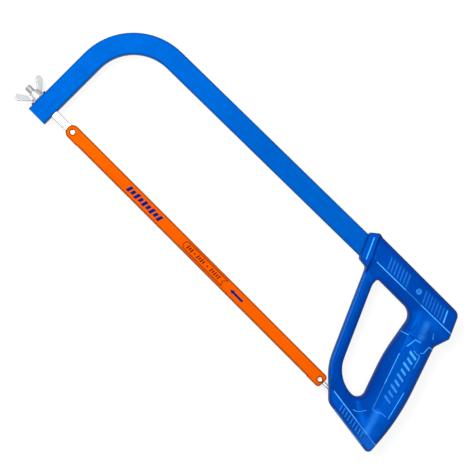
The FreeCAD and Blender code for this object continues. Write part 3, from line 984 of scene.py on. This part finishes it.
def new_material(name):
    material = bpy.data.materials.new(name)
    material.use_nodes = True
    tree = material.node_tree
    shader = tree.nodes["Principled BSDF"]
    return material, tree, shader


def node(tree, kind, inputs=None, **settings):
    made = tree.nodes.new(kind)
    for key, value in settings.items():
        setattr(made, key, value)
    for key, value in (inputs or {}).items():
        if isinstance(value, bpy.types.NodeSocket):
            tree.links.new(value, made.inputs[key])
        else:
            made.inputs[key].default_value = value
    return made


def object_noise(tree, scale, detail=4.0, stretch=None, roughness=0.55):
    """Noise in the piece's own space; scale is features per metre."""
    vector = node(tree, "ShaderNodeTexCoord").outputs["Object"]
    if stretch:
        vector = node(tree, "ShaderNodeMapping", {"Vector": vector, "Scale": stretch}).outputs["Vector"]
    made = node(tree, "ShaderNodeTexNoise",
                {"Vector": vector, "Scale": scale, "Detail": detail, "Roughness": roughness})
    return made.outputs["Fac"]


def ramp(tree, factor, stops):
    made = node(tree, "ShaderNodeValToRGB", {"Fac": factor})
    elements = made.color_ramp.elements
    while len(elements) < len(stops):
        elements.new(0.5)
    for element, (position, colour) in zip(elements, stops):
        element.position = position
        element.color = (*colour, 1) if len(colour) == 3 else colour
    return made.outputs["Color"]


def grey(value):
    return (value, value, value)


def mixed(tree, factor, first, second):
    made = node(tree, "ShaderNodeMix", {"Factor": factor}, data_type="RGBA")
    for socket, value in ((made.inputs[6], first), (made.inputs[7], second)):
        if isinstance(value, bpy.types.NodeSocket):
            tree.links.new(value, socket)
        else:
            socket.default_value = (*value, 1)
    return made.outputs[2]


def bumped(tree, shader, height, distance, strength):
    made = node(tree, "ShaderNodeBump", {"Height": height, "Distance": distance, "Strength": strength})
    tree.links.new(made.outputs["Normal"], shader.inputs["Normal"])


def between(tree, factor, low, high):
    """A grey that wanders between two values with the factor."""
    return ramp(tree, factor, [(0.3, grey(low)), (0.7, grey(high))])


def glossed(shader, tint, level):
    """A coloured, dimmed reflection."""
    shader.inputs["Specular Tint"].default_value = (*tint, 1)
    shader.inputs["Specular IOR Level"].default_value = level


def math_node(tree, operation, first, second):
    return node(tree, "ShaderNodeMath", {0: first, 1: second}, operation=operation).outputs[0]


def edge_mask(tree, radius):
    """Bright along convex and concave edges, from how much a bevelled normal leaves the true one."""
    soft = node(tree, "ShaderNodeBevel", {"Radius": radius}, samples=6).outputs["Normal"]
    true = node(tree, "ShaderNodeNewGeometry").outputs["Normal"]
    dot = node(tree, "ShaderNodeVectorMath", {0: soft, 1: true}, operation="DOT_PRODUCT").outputs["Value"]
    bend = math_node(tree, "SUBTRACT", 1.0, dot)
    scaled = node(tree, "ShaderNodeMapRange", {"Value": bend, "From Min": 0.02, "From Max": 0.25})
    return scaled.outputs["Result"]


BLUE_TINT = (0.0, 0.22, 1.0)
ORANGE_TINT = (1.0, 0.16, 0.0)


def tube_paint():
    """Enamel over steel: soft mottling, orange peel and a little wear on hard edges."""
    material, tree, shader = new_material("blue_enamel")
    cloud = object_noise(tree, 9, 3)
    fine = object_noise(tree, 240, 3)
    base = ramp(tree, cloud, [(0.30, (0.0, 0.032, 0.160)), (0.70, (0.0, 0.040, 0.190))])
    fleck = ramp(tree, fine, [(0.45, grey(0.0)), (0.75, grey(0.35))])
    base = mixed(tree, fleck, base, (0.0, 0.046, 0.220))
    wear = math_node(tree, "MULTIPLY", edge_mask(tree, 0.0006), object_noise(tree, 160, 5))
    wear = ramp(tree, wear, [(0.30, grey(0.0)), (0.52, grey(0.7))])
    base = mixed(tree, wear, base, (0.01, 0.09, 0.26))
    tree.links.new(base, shader.inputs["Base Color"])
    rough = between(tree, object_noise(tree, 55, 5), 0.30, 0.40)
    tree.links.new(rough, shader.inputs["Roughness"])
    glossed(shader, BLUE_TINT, 0.22)
    bumped(tree, shader, object_noise(tree, 650, 2), 0.00002, 0.35)
    return material


def handle_plastic():
    """Moulded plastic: fine grain, flow mottling, and lighter, smoother ridges, their lightness a painted
    highlight and partly wear where hands rub.
    """
    material, tree, shader = new_material("blue_moulded")
    flow = object_noise(tree, 30, 4, (1.0, 0.6, 1.0))
    base = ramp(tree, flow, [(0.3, (0.0, 0.018, 0.136)), (0.7, (0.0, 0.025, 0.166))])
    speck = ramp(tree, object_noise(tree, 900, 3), [(0.5, grey(0.0)), (0.8, grey(0.5))])
    base = mixed(tree, speck, base, (0.0, 0.014, 0.118))
    wear_and_painted_light = node(tree, "ShaderNodeAttribute", attribute_name="wear_and_painted_light").outputs["Fac"]
    patchy = math_node(tree, "MULTIPLY", wear_and_painted_light,
                       ramp(tree, object_noise(tree, 130, 4), [(0.25, grey(0.55)), (0.6, grey(1.0))]))
    # painted highlight colour along the ridges, partly wear
    base = mixed(tree, patchy, base, (0.06, 0.37, 0.85))
    tree.links.new(base, shader.inputs["Base Color"])
    rough = between(tree, object_noise(tree, 75, 5), 0.33, 0.43)
    rough = mixed(tree, wear_and_painted_light, rough, grey(0.27))
    tree.links.new(rough, shader.inputs["Roughness"])
    glossed(shader, BLUE_TINT, 0.35)
    bumped(tree, shader, object_noise(tree, 1500, 3), 0.00003, 0.45)
    return material


def blade_lacquer():
    """Lacquer over rolled steel, thin along the rolling marks; along the edges painted shade darkens it
    and rubbed lacquer makes it duller.
    """
    material, tree, shader = new_material("orange_lacquer")
    cloud = object_noise(tree, 14, 3)
    base = ramp(tree, cloud, [(0.3, (0.28, 0.033, 0.0)), (0.7, (0.32, 0.039, 0.0))])
    streak = object_noise(tree, 500, 4, (0.05, 1.0, 1.0))
    thin = ramp(tree, streak, [(0.52, grey(0.0)), (0.78, grey(0.35))])
    base = mixed(tree, thin, base, (0.27, 0.028, 0.0))
    rubbed_and_shaded_rim = node(tree, "ShaderNodeAttribute", attribute_name="wear_and_painted_light").outputs["Fac"]
    patchy = ramp(tree, object_noise(tree, 300, 4), [(0.3, grey(0.75)), (0.6, grey(1.0))])
    rubbed_and_shaded_rim = math_node(tree, "MULTIPLY", rubbed_and_shaded_rim, patchy)
    # painted edge shade
    base = mixed(tree, rubbed_and_shaded_rim, base, (0.085, 0.012, 0.0))
    tree.links.new(base, shader.inputs["Base Color"])
    rough = mixed(tree, rubbed_and_shaded_rim, between(tree, streak, 0.30, 0.42), grey(0.85))
    tree.links.new(rough, shader.inputs["Roughness"])
    glossed(shader, ORANGE_TINT, 0.3)
    bumped(tree, shader, streak, 0.00001, 0.4)
    return material


def printed_ink(name, thin, thick):
    """Printing ink, uneven in strength, with a dull face."""
    material, tree, shader = new_material(name)
    base = ramp(tree, object_noise(tree, 700, 4), [(0.35, thin), (0.6, thick)])
    tree.links.new(base, shader.inputs["Base Color"])
    rough = between(tree, object_noise(tree, 900, 3), 0.48, 0.62)
    tree.links.new(rough, shader.inputs["Roughness"])
    glossed(shader, thin, 0.1)
    bumped(tree, shader, object_noise(tree, 1500, 3), 0.00001, 0.4)
    return material


def zinc_plate():
    """Bright zinc: faint cloudy passivation and fine scratches."""
    material, tree, shader = new_material("zinc_plate")
    cloud = object_noise(tree, 180, 4)
    base = ramp(tree, cloud, [
        (0.3, (0.34, 0.36, 0.39)), (0.55, (0.44, 0.44, 0.43)), (0.8, (0.39, 0.38, 0.34)),
    ])
    tree.links.new(base, shader.inputs["Base Color"])
    shader.inputs["Metallic"].default_value = 0.7
    scratch = object_noise(tree, 2200, 3, (0.12, 1.0, 1.0))
    rough = between(tree, scratch, 0.36, 0.48)
    tree.links.new(rough, shader.inputs["Roughness"])
    bumped(tree, shader, scratch, 0.000005, 0.25)
    return material


def dark_steel():
    """Blued spring steel and dark-painted plate."""
    material, tree, shader = new_material("dark_steel")
    cloud = object_noise(tree, 200, 4)
    base = ramp(tree, cloud, [(0.3, (0.004, 0.010, 0.045)), (0.7, (0.010, 0.022, 0.085))])
    wear_and_painted_light = edge_mask(tree, 0.0004)
    base = mixed(tree, math_node(tree, "MULTIPLY", wear_and_painted_light, 0.5), base, (0.08, 0.10, 0.16))
    tree.links.new(base, shader.inputs["Base Color"])
    rough = between(tree, object_noise(tree, 500, 3), 0.34, 0.5)
    tree.links.new(rough, shader.inputs["Roughness"])
    bumped(tree, shader, object_noise(tree, 1200, 3), 0.00002, 0.4)
    return material


def plug_plastic():
    """Duller blue plastic of the leg's end plug."""
    material, tree, shader = new_material("plug_plastic")
    base = ramp(tree, object_noise(tree, 90, 3), [(0.3, (0.0, 0.040, 0.20)), (0.7, (0.0, 0.052, 0.24))])
    tree.links.new(base, shader.inputs["Base Color"])
    rough = between(tree, object_noise(tree, 300, 3), 0.45, 0.6)
    tree.links.new(rough, shader.inputs["Roughness"])
    glossed(shader, BLUE_TINT, 0.35)
    bumped(tree, shader, object_noise(tree, 1500, 3), 0.00003, 0.5)
    return material


def finish_node(name, material):
    """Gives a CAD node that keeps its shape a better material."""
    data = frame["nodes"][name].data
    data.materials.clear()
    data.materials.append(material)


# ---- scene ----

PLASTIC = handle_plastic()
PAINT = tube_paint()
LACQUER = blade_lacquer()
ZINC = zinc_plate()
STEEL = dark_steel()
PLUG = plug_plastic()

for name, material in (
    ("frame_tube", PAINT), ("leg_end_plug", PLUG), ("saddle_washer", STEEL), ("front_tube_pin", STEEL),
    ("rear_tube_pin", STEEL), ("anchor_cross_pin", STEEL), ("stud_guide_sleeve", ZINC),
    ("flat_washer", ZINC), ("front_blade_pin", ZINC), ("rear_anchor", ZINC), ("handle_screws", ZINC),
):
    finish_node(name, material)

handle_shell("left_handle", "left_handle_shell", 1, PLASTIC)
handle_shell("right_handle", "right_handle_shell", -1, PLASTIC)
saw_blade(LACQUER)
blade_print(
    printed_ink("navy_ink", (0.003, 0.010, 0.075), (0.001, 0.005, 0.050)),
    printed_ink("maroon_ink", (0.050, 0.004, 0.003), (0.030, 0.002, 0.003)),
)
wing_nut(ZINC)
draw_stud(ZINC)


# ---- floor, lights and camera ----

def floor():
    material, tree, shader = new_material("studio_floor")
    tone = ramp(tree, object_noise(tree, 2, 2), [(0.3, grey(0.075)), (0.7, grey(0.085))])
    tree.links.new(tone, shader.inputs["Base Color"])
    shader.inputs["Roughness"].default_value = 0.9
    shader.inputs["Emission Color"].default_value = (1, 1, 1, 1)
    shader.inputs["Emission Strength"].default_value = 0.83
    mesh = bpy.data.meshes.new("floor")
    half = 6.0
    corners = [(-half, -half, 0), (half, -half, 0), (half, half, 0), (-half, half, 0)]
    mesh.from_pydata(corners, [], [(0, 1, 2, 3)])
    mesh.materials.append(material)
    sheet = bpy.data.objects.new("floor", mesh)
    sheet.visible_diffuse = False
    sheet.visible_glossy = False
    bpy.context.scene.collection.objects.link(sheet)


def area_light(name, place, target, size, power):
    light = bpy.data.lights.new(name, "AREA")
    light.shape = "SQUARE"
    light.size = size
    light.energy = power
    lamp = bpy.data.objects.new(name, light)
    lamp.location = place
    lamp.rotation_euler = (Vector(target) - Vector(place)).to_track_quat("-Z", "Y").to_euler()
    bpy.context.scene.collection.objects.link(lamp)


def world(strength):
    made = bpy.data.worlds.new("studio")
    made.use_nodes = True
    background = made.node_tree.nodes["Background"]
    background.inputs["Color"].default_value = (0.9, 0.95, 1.0, 1)
    background.inputs["Strength"].default_value = strength
    bpy.context.scene.world = made


CAMERA_DISTANCE = 1.8
MM_PER_PIXEL = 0.8583
IMAGE_WIDTH = 474
SENSOR = 36.0
AXIS_POINT = (13.3, 36.1, 0.0)        # where the camera's axis meets the saw's middle plane
CAMERA_TURN = math.radians(45)


def camera():
    data = bpy.data.cameras.new("camera")
    data.sensor_width = SENSOR
    data.lens = SENSOR * CAMERA_DISTANCE / (IMAGE_WIDTH * MM_PER_PIXEL * MM)
    data.clip_end = 100
    made = bpy.data.objects.new("camera", data)
    x, y, z = placed([AXIS_POINT])[0]
    made.location = (x, y, z + CAMERA_DISTANCE)
    made.rotation_euler = (0, 0, CAMERA_TURN)
    bpy.context.scene.collection.objects.link(made)
    bpy.context.scene.camera = made


floor()
area_light("overhead", (-0.46, 0.0, 1.10), (-0.24, 0.0, 0), 0.60, 28)
area_light("handle", (0.40, 0.03, 1.15), (0.25, 0.0, 0), 0.34, 11)
world(0.50)
camera()
bpy.context.scene.view_settings.view_transform = "Standard"
